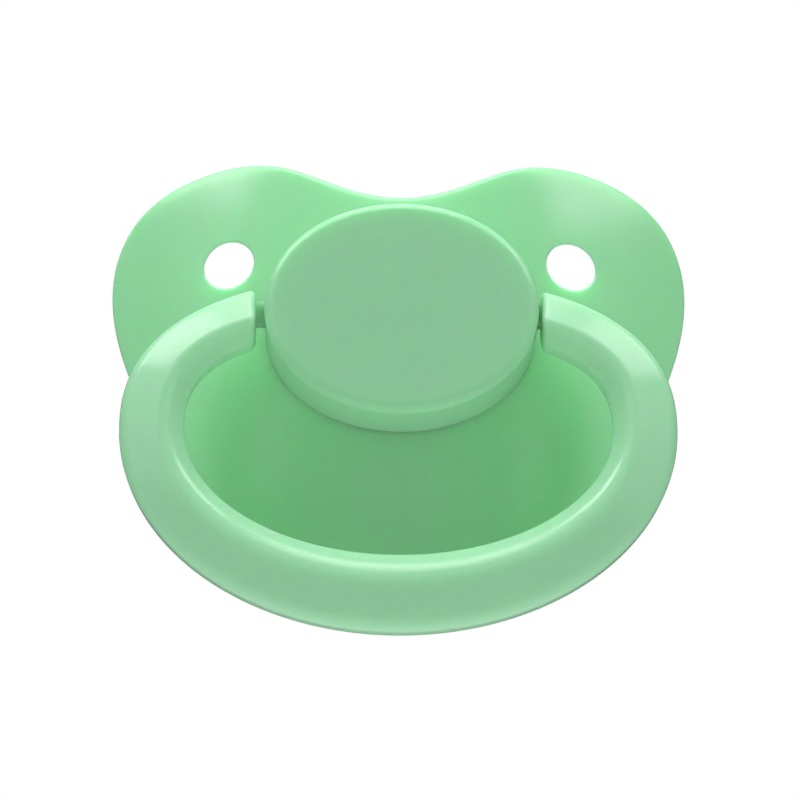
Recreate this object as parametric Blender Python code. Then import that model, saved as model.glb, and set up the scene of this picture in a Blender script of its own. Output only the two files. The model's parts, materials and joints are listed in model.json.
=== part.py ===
"""Pacifier: a curved shield, a hollow silicone teat with its plug, an oval button cap and a ring handle.

Metres. The wearer's mouth is on the +Y side, the front of the button faces -Y and +Z is up.
The origin is where the teat's axis leaves the back of the shield.
"""

import math

import bmesh
import bpy
import numpy as np
from mathutils import Matrix, Vector, geometry

# ---- driving dimensions -------------------------------------------------------------------------

FIT_GAP = 0.0003  # air between two pieces that touch on the real object
MERGE_BELOW = 1e-7

# shield
SHIELD_THICKNESS = 0.0020
SHIELD_BEND = 0.057  # radius across the face, about a vertical axis
SHIELD_CROWN = 0.110  # radius up and down
SHIELD_HALF_OUTLINE = (  # (x, z), from the notch at the top to the chin, right half
    (0.0, 0.0184),
    (0.0078, 0.0203),
    (0.0146, 0.0235),
    (0.0218, 0.0245),
    (0.0300, 0.0225),
    (0.0356, 0.0176),
    (0.0377, 0.0098),
    (0.0364, 0.0007),
    (0.0330, -0.0083),
    (0.0280, -0.0175),
    (0.0213, -0.0255),
    (0.0118, -0.0317),
    (0.0, -0.0340),
)
OUTLINE_STEPS = 3  # points between two outline points
PLATE_GRID = 0.0042  # spacing of the points between the rims
GRID_TO_RIM = 0.0031  # least distance from those points to a rim's last ring
RIM_STEPS = 3  # facets round an edge
TEAT_HOLE_RADIUS = 0.0073
VENT_RADIUS = 0.0035
VENT_X = 0.0223
VENT_Z = 0.0100

# oval boss on the shield, inside the cap
BOSS_TOP = -0.0036
SEAT_FLOOR = -0.0022
SEAT_RADIUS = 0.0102
BEAD_Y = -0.0027
BEAD_HALF = 0.0004
BEAD_HEIGHT = 0.0004

# button cap
CAP_HALF_WIDTH = 0.01743
CAP_HALF_HEIGHT = 0.0141
CAP_FACE = -0.0102
CAP_WALL = 0.0017
CAP_FACE_WALL = 0.0018
CAP_FILLET = 0.00135
CAP_RIB_OUTER = 0.0066
CAP_RIB_INNER = 0.0054

# teat and its plug
TEAT_NECK_RADIUS = 0.0070
TEAT_FLANGE_RADIUS = 0.0099
TEAT_FLANGE = 0.0012
TEAT_WALL = 0.0013
TEAT_OUTLINE = (  # (y, radius) along the outside, past the shield
    (0.0000, 0.0070),
    (0.0075, 0.0071),
    (0.0145, 0.0087),
    (0.0205, 0.0107),
    (0.0250, 0.0113),
    (0.0266, 0.01135),
)
TEAT_TIP = 0.0368
TEAT_STEPS = 3  # rings between two outline points
DOME_STEPS = 7
PLUG_DISC = 0.0014
PLUG_SPIGOT_RADIUS = 0.0054
PLUG_SPIGOT_END = 0.0020
PLUG_WALL = 0.0012

# ring handle
HINGE_Y = -0.0061
RING_SIDE_SHIFT = -0.00035  # the ring slides a little on its pins and rests against one side
RING_END_X = 0.01815
RING_CENTRE_Z = -0.0154
RING_OUTER_HALF = 0.0353
RING_INNER_HALF = 0.0270
RING_OUTER_UP = 0.0206
RING_OUTER_DOWN = 0.0264
RING_INNER_UP = 0.0133
RING_INNER_DOWN = 0.0165
RING_OUTER_POWER = 2.35  # 2 is an ellipse, more is squarer
RING_INNER_POWER = 2.6
RING_SECTION = (  # (part of the half width outwards, distance forwards, corner radius)
    (1.00, 0.0016, 0.0022),
    (-0.42, 0.0042, 0.0010),
    (-1.00, 0.0012, 0.0012),
    (-0.94, -0.0034, 0.0018),
    (0.94, -0.0034, 0.0018),
)
RIDGE_SOFTENING = 0.0028  # added to the second corner's radius at the bottom of the ring
RING_STATIONS = 44
RING_CORNER_STEPS = 3
RING_END_ROUND = 0.0010
PIN_RADIUS = 0.0017
PIN_SHOULDER_X = 0.0149
PIN_END_X = 0.0137
PIN_HEAD_RADIUS = 0.00205
PIN_HOLE_RADIUS = 0.00185
PIN_ROOT = 0.002  # how far the pin runs on inside the arm

OVAL_STEPS = 40
ROUND_STEPS = 32
VENT_STEPS = 20
PIN_STEPS = 20

MINT = (0.26, 0.72, 0.40, 1.0)
MINT_RING = (0.29, 0.74, 0.43, 1.0)
SILICONE = (0.90, 0.90, 0.86, 0.45)


# ---- helpers ------------------------------------------------------------------------------------


def clear_scene():
    for old in list(bpy.data.objects):
        bpy.data.objects.remove(old, do_unlink=True)


def plastic(name, colour, roughness):
    material = bpy.data.materials.new(name)
    material.use_nodes = True
    shader = material.node_tree.nodes["Principled BSDF"]
    shader.inputs["Base Color"].default_value = colour
    shader.inputs["Roughness"].default_value = roughness
    shader.inputs["Metallic"].default_value = 0.0
    shader.inputs["Alpha"].default_value = colour[3]
    return material


def make_object(name, shape, material, sharp_angle=math.radians(35)):
    """Turns a bmesh into a named object with smooth shading and its material."""
    bmesh.ops.recalc_face_normals(shape, faces=shape.faces)
    mesh = bpy.data.meshes.new(name)
    shape.to_mesh(mesh)
    shape.free()
    mesh.shade_smooth()
    mesh.set_sharp_from_angle(angle=sharp_angle)
    mesh.materials.append(material)
    made = bpy.data.objects.new(name, mesh)
    bpy.context.scene.collection.objects.link(made)
    return made


def loft(rings, close_path=False):
    """Skins rings of equal length with quads; an open path gets a flat face at each end."""
    shape = bmesh.new()
    rows = [[shape.verts.new(point) for point in ring] for ring in rings]
    pairs = list(zip(rows, rows[1:]))
    if close_path:
        pairs.append((rows[-1], rows[0]))
    for near, far in pairs:
        for i in range(len(near)):
            j = (i + 1) % len(near)
            shape.faces.new((near[i], near[j], far[j], far[i]))
    if not close_path:
        shape.faces.new(rows[0])
        shape.faces.new(list(reversed(rows[-1])))
    return shape


def join_shape(target, tool, operation):
    """A Boolean on the target with a tool object that isn't part of the model."""
    tool.hide_render = True
    tool.display_type = "WIRE"
    step = target.modifiers.new(tool.name, "BOOLEAN")
    step.operation = operation
    step.object = tool
    step.solver = "EXACT"


def smooth_loop(points, steps):
    """A closed cubic spline through the points, without a break in its curvature."""
    place = np.array(points)
    unit = np.eye(len(points))
    rows = 4 * unit + np.roll(unit, 1, axis=0) + np.roll(unit, -1, axis=0)
    change = np.roll(place, 1, axis=0) - 2 * place + np.roll(place, -1, axis=0)
    bend = np.linalg.solve(rows, 6 * change)
    line = []
    for i in range(len(points)):
        j = (i + 1) % len(points)
        for k in range(steps):
            t = k / steps
            s = 1 - t
            line.append(s * place[i] + t * place[j] + ((s**3 - s) * bend[i] + (t**3 - t) * bend[j]) / 6)
    return line


def oval(half_x, half_z, y):
    """A level ring of points round the Y axis; y may be a number or a function of x and z."""
    ring = []
    for i in range(OVAL_STEPS):
        angle = math.tau * i / OVAL_STEPS
        x = half_x * math.cos(angle)
        z = half_z * math.sin(angle)
        ring.append(Vector((x, y(x, z) if callable(y) else y, z)))
    return ring


def turned(profile, steps=ROUND_STEPS):
    """Rings round the Y axis for a list of (y, radius)."""
    rings = []
    for y, radius in profile:
        turn = [math.tau * i / steps for i in range(steps)]
        rings.append([Vector((radius * math.cos(a), y, radius * math.sin(a))) for a in turn])
    return rings


def cylinder_along_x(name, radius, x_from, x_to):
    """A round bar on the hinge's axis."""
    shape = bmesh.new()
    bmesh.ops.create_cone(
        shape,
        cap_ends=True,
        segments=PIN_STEPS,
        radius1=radius,
        radius2=radius,
        depth=abs(x_to - x_from),
        matrix=Matrix.Translation(((x_from + x_to) / 2, HINGE_Y, 0)) @ Matrix.Rotation(math.pi / 2, 4, "Y"),
    )
    return make_object(name, shape, bpy.data.materials["mint_plastic"])


# ---- shield -------------------------------------------------------------------------------------


def sag(x, z):
    """How far the shield falls back from its middle at a place on its face."""
    across = SHIELD_BEND - math.sqrt(SHIELD_BEND**2 - x**2)
    upright = SHIELD_CROWN - math.sqrt(SHIELD_CROWN**2 - z**2)
    return across + upright


def shield_middle(x, z):
    return sag(x, z) - SHIELD_THICKNESS / 2


def shield_normal(x, z):
    """The shield's forward normal."""
    slope_x = x / math.sqrt(SHIELD_BEND**2 - x**2)
    slope_z = z / math.sqrt(SHIELD_CROWN**2 - z**2)
    return Vector((slope_x, -1, slope_z)).normalized()


def shield_front(x, z):
    return sag(x, z) - SHIELD_THICKNESS / abs(shield_normal(x, z).y)


def shield_point(x, z, forward):
    return Vector((x, shield_middle(x, z), z)) + forward * shield_normal(x, z)


def shield_outline():
    left_half = [(-x, z) for x, z in reversed(SHIELD_HALF_OUTLINE[1:-1])]
    return smooth_loop(list(SHIELD_HALF_OUTLINE) + left_half, OUTLINE_STEPS)


def inset(loop, depth):
    """Moves a closed loop of (x, z) points to its left by a distance measured on the bent face."""
    moved = []
    for i, (x, z) in enumerate(loop):
        along = Vector(loop[(i + 1) % len(loop)]) - Vector(loop[i - 1])
        left = Vector((-along.y, along.x)).normalized()
        forward = shield_normal(x, z)
        slope = (left.x * forward.x + left.y * forward.z) / forward.y
        step = depth / math.hypot(1, slope)
        moved.append((x + left.x * step, z + left.y * step))
    return moved


def circle(x, z, radius, steps):
    """A clockwise loop of (x, z) points, so that its left is away from the hole."""
    turns = [-math.tau * i / steps for i in range(steps)]
    return [(x + radius * math.cos(a), z + radius * math.sin(a)) for a in turns]


def plate_loops():
    """The shield's outline, its two vents and its teat hole, each with the material on its left."""
    vents = [circle(side * VENT_X, VENT_Z, VENT_RADIUS, VENT_STEPS) for side in (-1, 1)]
    teat_hole = circle(0, 0, TEAT_HOLE_RADIUS, ROUND_STEPS)
    outline = [tuple(p) for p in reversed(shield_outline())]
    return [outline, *vents, teat_hole]


def grid_points(outline):
    """Points of a square grid that keep clear of every rim."""
    clear = GRID_TO_RIM + SHIELD_THICKNESS / 2
    holes = [(0, 0, TEAT_HOLE_RADIUS), (-VENT_X, VENT_Z, VENT_RADIUS), (VENT_X, VENT_Z, VENT_RADIUS)]
    reach = math.ceil(max(x for x, z in outline) / PLATE_GRID)
    points = []
    for i in range(-reach, reach + 1):
        for k in range(-reach, reach + 1):
            x = i * PLATE_GRID
            z = k * PLATE_GRID
            in_hole = any(math.hypot(x - hx, z - hz) < r + clear for hx, hz, r in holes)
            near_rim = min(math.hypot(x - ox, z - oz) for ox, oz in outline) < clear
            if inside_loop(outline, x, z) and not in_hole and not near_rim:
                points.append((x, z))
    return points


def inside_loop(loop, x, z):
    """True if a line from the point to +X crosses the loop an odd number of times."""
    crossings = 0
    for (x1, z1), (x2, z2) in zip(loop, loop[1:] + loop[:1]):
        if (z1 > z) != (z2 > z) and x < x1 + (z - z1) * (x2 - x1) / (z2 - z1):
            crossings += 1
    return crossings % 2 == 1


def plate_layout():
    """Flat triangles that fill the plate: points (x, z), how far each stands forward, and faces."""
    half = SHIELD_THICKNESS / 2
    points = []
    forward = []
    edges = []
    loops = plate_loops()
    for loop in loops:
        for k in range(RIM_STEPS + 1):
            turn = math.pi / 2 * k / RIM_STEPS
            first = len(points)
            ring = inset(loop, half * (1 - math.cos(turn)))
            points += ring
            forward += [half * math.sin(turn)] * len(ring)
            edges += [(first + i, first + (i + 1) % len(ring)) for i in range(len(ring))]
    inner = grid_points(loops[0])
    points += inner
    forward += [half] * len(inner)
    flat = [Vector(p) for p in points]
    inside_only = 1
    found = geometry.delaunay_2d_cdt(flat, edges, [], inside_only, MERGE_BELOW)
    place, faces, source = found[0], found[2], found[3]
    holes = loops[1:]
    kept = []
    for face in faces:
        middle = sum((place[i] for i in face), Vector((0, 0))) / len(face)
        if not any(inside_loop(hole, middle.x, middle.y) for hole in holes):
            kept.append(face)
    return place, [forward[origin[0]] for origin in source], kept


def shield_plate():
    """The bent plate with its rims rounded all through: one skin in front, one behind."""
    places, forward, faces = plate_layout()
    shape = bmesh.new()
    front = []
    back = []
    for place, level in zip(places, forward):
        ahead = shape.verts.new(shield_point(place.x, place.y, level))
        front.append(ahead)
        back.append(ahead if level == 0 else shape.verts.new(shield_point(place.x, place.y, -level)))
    for face in faces:
        shape.faces.new([front[i] for i in face])
        shape.faces.new([back[i] for i in reversed(face)])
    loose = [v for v in shape.verts if not v.link_faces]
    bmesh.ops.delete(shape, geom=loose, context="VERTS")
    return shape


def boss_shape():
    """The oval rim that the cap snaps over, with the round seat for the teat's flange."""
    half_x = CAP_HALF_WIDTH - CAP_WALL - FIT_GAP
    half_z = CAP_HALF_HEIGHT - CAP_WALL - FIT_GAP
    seat_hole = TEAT_HOLE_RADIUS + FIT_GAP
    rings = [
        oval(half_x, half_z, shield_middle),
        oval(half_x, half_z, BEAD_Y + BEAD_HALF),
        oval(half_x + BEAD_HEIGHT, half_z + BEAD_HEIGHT, BEAD_Y),
        oval(half_x, half_z, BEAD_Y - BEAD_HALF),
        oval(half_x, half_z, BOSS_TOP),
        oval(SEAT_RADIUS, SEAT_RADIUS, BOSS_TOP),
        oval(SEAT_RADIUS, SEAT_RADIUS, SEAT_FLOOR),
        oval(seat_hole, seat_hole, SEAT_FLOOR),
        oval(seat_hole, seat_hole, shield_middle),
    ]
    return loft(rings, close_path=True)


def make_shield(material):
    shield = make_object("shield", shield_plate(), material)
    join_shape(shield, make_object("boss_tool", boss_shape(), material), "UNION")
    return shield


# ---- button cap ---------------------------------------------------------------------------------


def cap_rim(x, z):
    """The cap stops just short of the shield's face, all the way round."""
    return shield_front(x, z) - FIT_GAP


def cap_rings():
    """From the middle of the face, over the rounded edge, down the wall and up inside."""
    rings = []
    for angle in (90, 72, 54, 36, 18, 0):
        turn = math.radians(angle)
        inset = CAP_FILLET * (1 - math.cos(turn))
        y = CAP_FACE + CAP_FILLET * (1 - math.sin(turn))
        rings.append(oval(CAP_HALF_WIDTH - inset, CAP_HALF_HEIGHT - inset, y))
    rings.append(oval(CAP_HALF_WIDTH, CAP_HALF_HEIGHT, cap_rim))
    inner_x = CAP_HALF_WIDTH - CAP_WALL
    inner_z = CAP_HALF_HEIGHT - CAP_WALL
    ceiling = CAP_FACE + CAP_FACE_WALL
    rib_end = plug_levels()[1] - FIT_GAP
    rings += [
        oval(inner_x, inner_z, cap_rim),
        oval(inner_x, inner_z, BEAD_Y + BEAD_HALF + FIT_GAP),
        oval(inner_x + BEAD_HEIGHT, inner_z + BEAD_HEIGHT, BEAD_Y),
        oval(inner_x, inner_z, BEAD_Y - BEAD_HALF - FIT_GAP),
        oval(inner_x, inner_z, ceiling),
        oval(CAP_RIB_OUTER, CAP_RIB_OUTER, ceiling),
        oval(CAP_RIB_OUTER, CAP_RIB_OUTER, rib_end),
        oval(CAP_RIB_INNER, CAP_RIB_INNER, rib_end),
        oval(CAP_RIB_INNER, CAP_RIB_INNER, ceiling),
    ]
    return rings


def make_button_cap(material):
    cap = make_object("button_cap", loft(cap_rings()), material)
    reach = 2 * CAP_WALL
    for side in (-1, 1):
        outside = side * (CAP_HALF_WIDTH + reach)
        inside = side * (CAP_HALF_WIDTH - reach)
        bore = cylinder_along_x(f"pin_hole_tool_{side + 1}", PIN_HOLE_RADIUS, outside, inside)
        join_shape(cap, bore, "DIFFERENCE")
    return cap


# ---- teat and plug ------------------------------------------------------------------------------


def open_line(points, steps):
    """A Catmull-Rom line through the points, with its ends."""
    ends = [2 * np.array(points[0]) - np.array(points[1])]
    ends += [np.array(p) for p in points]
    ends.append(2 * np.array(points[-1]) - np.array(points[-2]))
    line = []
    for i in range(1, len(ends) - 2):
        before, here, after, later = ends[i - 1 : i + 3]
        for k in range(steps):
            t = k / steps
            slope = after - before
            push = 2 * before - 5 * here + 4 * after - later
            turn = 3 * here - before - 3 * after + later
            line.append(here + 0.5 * (slope * t + push * t**2 + turn * t**3))
    line.append(ends[-2])
    return line


def dome(y, radius, tip):
    """The rounded end of the teat: a quarter oval from the last outline point to near the axis."""
    turns = [math.pi / 2 * k / (DOME_STEPS + 0.5) for k in range(1, DOME_STEPS + 1)]
    return [(y + (tip - y) * math.sin(a), radius * math.cos(a)) for a in turns]


def make_teat(material):
    """One hollow rubber skin: flange, neck, bulb, open at the flange."""
    seat = SEAT_FLOOR - FIT_GAP
    side = [tuple(p) for p in open_line(TEAT_OUTLINE, TEAT_STEPS)]
    outside = side + dome(*side[-1], TEAT_TIP)
    inside = [(y, radius - TEAT_WALL) for y, radius in side]
    inside += dome(*inside[-1], TEAT_TIP - TEAT_WALL)
    lip = [
        (seat - TEAT_FLANGE, TEAT_NECK_RADIUS - TEAT_WALL),
        (seat - TEAT_FLANGE, TEAT_FLANGE_RADIUS),
        (seat, TEAT_FLANGE_RADIUS),
        (seat, TEAT_NECK_RADIUS),
    ]
    profile = list(reversed(inside)) + lip + outside
    return make_object("teat", loft(turned(profile)), material)


def plug_levels():
    """Where the plug's disc starts, on the teat's flange, and where it ends, at its front."""
    under_disc = SEAT_FLOOR - FIT_GAP - TEAT_FLANGE - FIT_GAP
    return under_disc, under_disc - PLUG_DISC


def make_teat_plug(material):
    """A cup that fills the neck, with a disc that clamps the flange in its seat."""
    under_disc, front = plug_levels()
    profile = [
        (PLUG_SPIGOT_END - PLUG_WALL, PLUG_SPIGOT_RADIUS - PLUG_WALL),
        (front, PLUG_SPIGOT_RADIUS - PLUG_WALL),
        (front, TEAT_FLANGE_RADIUS),
        (under_disc, TEAT_FLANGE_RADIUS),
        (under_disc, PLUG_SPIGOT_RADIUS),
        (PLUG_SPIGOT_END - PLUG_WALL / 2, PLUG_SPIGOT_RADIUS),
        (PLUG_SPIGOT_END, PLUG_SPIGOT_RADIUS - PLUG_WALL / 2),
    ]
    return make_object("teat_plug", loft(turned(profile)), material)


# ---- ring handle --------------------------------------------------------------------------------


def rounded_corners(corners, steps):
    """A closed outline whose corners are arcs; corners are (across, forward, radius)."""
    line = []
    for i, (across, forward, radius) in enumerate(corners):
        here = Vector((across, forward))
        before = (Vector(corners[i - 1][:2]) - here).normalized()
        after = (Vector(corners[(i + 1) % len(corners)][:2]) - here).normalized()
        half_angle = before.angle(after) / 2
        centre = here + (before + after).normalized() * radius / math.sin(half_angle)
        reach = radius / math.tan(half_angle)
        start = here + before * reach - centre
        sweep = -start.angle_signed(here + after * reach - centre)
        for k in range(steps + 1):
            line.append(centre + Matrix.Rotation(sweep * k / steps, 2) @ start)
    return line


def curve_point(half_width, up, down, power, angle):
    """A point on the ring's oval: squarer above its widest place, a plain ellipse below."""
    rise = math.sin(angle)
    if rise < 0:
        return Vector((half_width * math.cos(angle), down * rise))
    run = math.cos(angle)
    x = half_width * math.copysign(abs(run) ** (2 / power), run)
    return Vector((x, up * rise ** (2 / power)))


def end_angle(half_width, power):
    """The angle at which the oval passes the arm's flat end."""
    return math.acos((RING_END_X / half_width) ** (power / 2))


def ring_station(share):
    """Inner and outer edge of the ring at a share of the way from the right end to the left end."""
    outer_end = end_angle(RING_OUTER_HALF, RING_OUTER_POWER)
    inner_end = end_angle(RING_INNER_HALF, RING_INNER_POWER)
    outer_angle = outer_end - share * (math.pi + 2 * outer_end)
    inner_angle = inner_end - share * (math.pi + 2 * inner_end)
    outer = curve_point(RING_OUTER_HALF, RING_OUTER_UP, RING_OUTER_DOWN, RING_OUTER_POWER, outer_angle)
    inner = curve_point(RING_INNER_HALF, RING_INNER_UP, RING_INNER_DOWN, RING_INNER_POWER, inner_angle)
    return inner, outer


def ring_section(share, shrink=0.0):
    """The ring's cross-section; shrink pulls it in for the rounded end."""
    inner, outer = ring_station(share)
    middle = (inner + outer) / 2
    half_width = (outer - inner).length / 2
    outwards = (outer - inner).normalized()
    corners = [[across * half_width, forward, radius] for across, forward, radius in RING_SECTION]
    corners[1][2] += RIDGE_SOFTENING * math.sin(math.pi * share) ** 2
    depth = RING_SECTION[1][1] - RING_SECTION[-1][1]
    points = []
    for across, forward in rounded_corners(corners, RING_CORNER_STEPS):
        across *= 1 - shrink / half_width
        forward *= 1 - 2 * shrink / depth
        place = middle + outwards * across
        points.append(Vector((place.x + RING_SIDE_SHIFT, HINGE_Y - forward, RING_CENTRE_Z + place.y)))
    return points


def ring_rings():
    """All cross-sections, with a small rounding at each flat end."""
    first_step = ring_station(1 / RING_STATIONS)[1] - ring_station(0)[1]
    share_per_metre = 1 / (RING_STATIONS * first_step.length)
    ends = []
    for angle in (0, 30, 60, 90):
        turn = math.radians(angle)
        shrink = RING_END_ROUND * (1 - math.sin(turn))
        ends.append((RING_END_ROUND * (1 - math.cos(turn)) * share_per_metre, shrink))
    rings = [ring_section(share, shrink) for share, shrink in ends]
    rings += [ring_section(i / RING_STATIONS) for i in range(1, RING_STATIONS)]
    rings += [ring_section(1 - share, shrink) for share, shrink in reversed(ends)]
    return rings


def pin_shape(side):
    """One hinge pin: from inside the ring's arm to a snap head inside the cap."""
    root = RING_END_X + PIN_ROOT
    chamfer = PIN_HEAD_RADIUS - PIN_RADIUS
    profile = [
        (root, PIN_RADIUS),
        (PIN_SHOULDER_X + chamfer, PIN_RADIUS),
        (PIN_SHOULDER_X, PIN_HEAD_RADIUS),
        (PIN_END_X + chamfer, PIN_HEAD_RADIUS),
        (PIN_END_X, PIN_RADIUS - chamfer),
    ]
    rings = []
    for x, radius in profile:
        turn = [math.tau * i / PIN_STEPS for i in range(PIN_STEPS)]
        centre = Vector((side * x + RING_SIDE_SHIFT, HINGE_Y, 0))
        rings.append([centre + Vector((0, radius * math.cos(a), radius * math.sin(a))) for a in turn])
    return loft(rings)


def make_ring_handle(material):
    hinge = bpy.data.objects.new("hinge_axis", None)
    hinge.location = (0, HINGE_Y, 0)
    bpy.context.scene.collection.objects.link(hinge)
    ring = make_object("ring_handle", loft(ring_rings()), material)
    ring.parent = hinge
    ring.matrix_parent_inverse = Matrix.Translation(-hinge.location)
    for side in (-1, 1):
        join_shape(ring, make_object(f"pin_tool_{side + 1}", pin_shape(side), material), "UNION")
    return ring


# ---- model --------------------------------------------------------------------------------------


def main():
    clear_scene()
    mint = plastic("mint_plastic", MINT, 0.22)
    ring_mint = plastic("mint_ring_plastic", MINT_RING, 0.22)
    cap_mint = plastic("mint_cap_plastic", MINT, 0.22)
    plug_mint = plastic("plug_plastic", MINT, 0.35)
    silicone = plastic("clear_silicone", SILICONE, 0.18)
    make_shield(mint)
    make_button_cap(cap_mint)
    make_teat(silicone)
    make_teat_plug(plug_mint)
    make_ring_handle(ring_mint)


main()
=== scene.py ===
# %% [markdown]
# # A pacifier, finished around its CAD model
# A pacifier is a small moulded product: a bent shield that stays outside the mouth, a hollow silicone
# teat behind it, an oval button that hides where the two are clamped, and a ring handle that swings on
# two short pins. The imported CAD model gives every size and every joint. This lesson rebuilds the visible
# pieces with finer curves, gives each one a real finish, and lights them softly on a pale floor.

# %% Load the frame
import json
import math

import bmesh
import bpy
import numpy as np
from mathutils import Matrix, Vector, geometry


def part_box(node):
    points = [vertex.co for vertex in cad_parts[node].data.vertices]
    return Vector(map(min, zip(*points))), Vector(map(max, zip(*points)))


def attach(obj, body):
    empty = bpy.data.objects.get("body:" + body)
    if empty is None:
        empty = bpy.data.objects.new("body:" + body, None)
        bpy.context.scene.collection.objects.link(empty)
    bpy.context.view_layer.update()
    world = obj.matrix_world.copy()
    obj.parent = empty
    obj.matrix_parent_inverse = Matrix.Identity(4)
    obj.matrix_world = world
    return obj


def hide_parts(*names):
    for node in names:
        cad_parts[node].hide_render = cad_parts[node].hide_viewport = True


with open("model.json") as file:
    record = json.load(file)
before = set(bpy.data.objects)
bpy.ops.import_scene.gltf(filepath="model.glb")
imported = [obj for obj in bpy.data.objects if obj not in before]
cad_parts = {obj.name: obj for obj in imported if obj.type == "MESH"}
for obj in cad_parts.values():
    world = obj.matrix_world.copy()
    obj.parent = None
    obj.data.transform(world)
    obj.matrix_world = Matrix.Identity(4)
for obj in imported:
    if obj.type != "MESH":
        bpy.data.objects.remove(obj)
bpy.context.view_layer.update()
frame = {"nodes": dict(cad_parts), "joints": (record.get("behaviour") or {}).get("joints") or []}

print("nodes:", sorted(frame["nodes"]))

# %% [markdown]
# ## Curves from a few points
# The shield has a flowing butterfly outline. A mould maker would draw it as one spline through a few
# points, without a break in its curvature, because a break shows at once in the gloss. The same cubic
# spline is solved here with numpy. The points are in metres, from the notch at the top to the chin.

# %% The shield's outline
HALF_OUTLINE = (
    (0.0, 0.0184),
    (0.0078, 0.0203),
    (0.0146, 0.0235),
    (0.0218, 0.0245),
    (0.0300, 0.0225),
    (0.0356, 0.0176),
    (0.0377, 0.0098),
    (0.0364, 0.0007),
    (0.0330, -0.0083),
    (0.0280, -0.0175),
    (0.0213, -0.0255),
    (0.0118, -0.0317),
    (0.0, -0.0340),
)
OUTLINE_STEPS = 14


def smooth_loop(points, steps):
    """A closed cubic spline through the points."""
    place = np.array(points)
    unit = np.eye(len(points))
    rows = 4 * unit + np.roll(unit, 1, axis=0) + np.roll(unit, -1, axis=0)
    change = np.roll(place, 1, axis=0) - 2 * place + np.roll(place, -1, axis=0)
    bend = np.linalg.solve(rows, 6 * change)
    line = []
    for i in range(len(points)):
        j = (i + 1) % len(points)
        for k in range(steps):
            t = k / steps
            s = 1 - t
            curve = ((s**3 - s) * bend[i] + (t**3 - t) * bend[j]) / 6
            line.append(tuple(s * place[i] + t * place[j] + curve))
    return line


left_half = [(-x, z) for x, z in reversed(HALF_OUTLINE[1:-1])]
outline = smooth_loop(list(HALF_OUTLINE) + left_half, OUTLINE_STEPS)
outline.reverse()
print("outline points:", len(outline))

# %% [markdown]
# ## The shield's bend
# The plate is bent twice: tightly across the face, to follow the cheeks, and gently up and down. Every
# point is placed on the middle of the plate first and then moved along the plate's own normal, forwards
# or back, so that the wall keeps its 2 mm everywhere.

# %% Places on the bent plate
PLATE_HALF = 0.0010
BEND_ACROSS = 0.057
BEND_UPRIGHT = 0.110


def plate_middle(x, z):
    across = BEND_ACROSS - math.sqrt(BEND_ACROSS**2 - x**2)
    upright = BEND_UPRIGHT - math.sqrt(BEND_UPRIGHT**2 - z**2)
    return across + upright - PLATE_HALF


def plate_normal(x, z):
    """Forwards, out of the face."""
    slope_x = x / math.sqrt(BEND_ACROSS**2 - x**2)
    slope_z = z / math.sqrt(BEND_UPRIGHT**2 - z**2)
    return Vector((slope_x, -1, slope_z)).normalized()


def plate_point(x, z, forward):
    return Vector((x, plate_middle(x, z), z)) + forward * plate_normal(x, z)


def plate_front(x, z):
    """The height of the front face right above a place."""
    return plate_middle(x, z) - PLATE_HALF / abs(plate_normal(x, z).y)


def plate_back(x, z):
    """The height of the back face right behind a place."""
    return plate_middle(x, z) + PLATE_HALF / abs(plate_normal(x, z).y)


print("the shield's ears stand back by", round(1000 * plate_middle(0.035, 0.01), 1), "mm")

# %% [markdown]
# ## Rounded rims
# Nothing on a pacifier may be sharp, so the outline is rounded all through the plate. Its rim is a half
# circle made of rings of points. The rings step inwards as they rise, measured along the bent face. Rings
# are the easy way to keep a rim's highlight even: their quads follow the edge.

# %% Rims as rings of points
RIM_STEPS = 7


def inset(loop, depth):
    """Moves a closed loop of (x, z) points to its left by a distance along the bent face."""
    moved = []
    for i, (x, z) in enumerate(loop):
        along = Vector(loop[(i + 1) % len(loop)]) - Vector(loop[i - 1])
        left = Vector((-along.y, along.x)).normalized()
        forward = plate_normal(x, z)
        slope = (left.x * forward.x + left.y * forward.z) / forward.y
        step = depth / math.hypot(1, slope)
        moved.append((x + left.x * step, z + left.y * step))
    return moved


def rim(shape, loop, side):
    """Rings of vertices from the middle of the wall to one face; side is 1 in front, -1 behind."""
    rings = []
    for k in range(RIM_STEPS + 1):
        turn = math.pi / 2 * k / RIM_STEPS
        ring = inset(loop, PLATE_HALF * (1 - math.cos(turn)))
        lift = side * PLATE_HALF * math.sin(turn)
        rings.append([shape.verts.new(plate_point(x, z, lift)) for x, z in ring])
    return rings


def skin(shape, rings):
    """Quads between rings of equal length."""
    for near, far in zip(rings, rings[1:]):
        for i in range(len(near)):
            j = (i + 1) % len(near)
            shape.faces.new((near[i], near[j], far[j], far[i]))


def circle(x, z, radius, steps):
    turns = [-math.tau * i / steps for i in range(steps)]
    return [(x + radius * math.cos(a), z + radius * math.sin(a)) for a in turns]


# %% [markdown]
# ## Filling the faces
# Between the rims the face is one smooth sheet. Blender's constrained Delaunay fill joins the rims to a
# fine grid of points with even triangles, which is what a freely curved outline needs: a grid of quads
# would have to be cut along the edge and would show there.

# %% Fill a face with small triangles
GRID = 0.0011


def inside_loop(loop, x, z):
    crossings = 0
    for (x1, z1), (x2, z2) in zip(loop, loop[1:] + loop[:1]):
        if (z1 > z) != (z2 > z) and x < x1 + (z - z1) * (x2 - x1) / (z2 - z1):
            crossings += 1
    return crossings % 2 == 1


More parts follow.
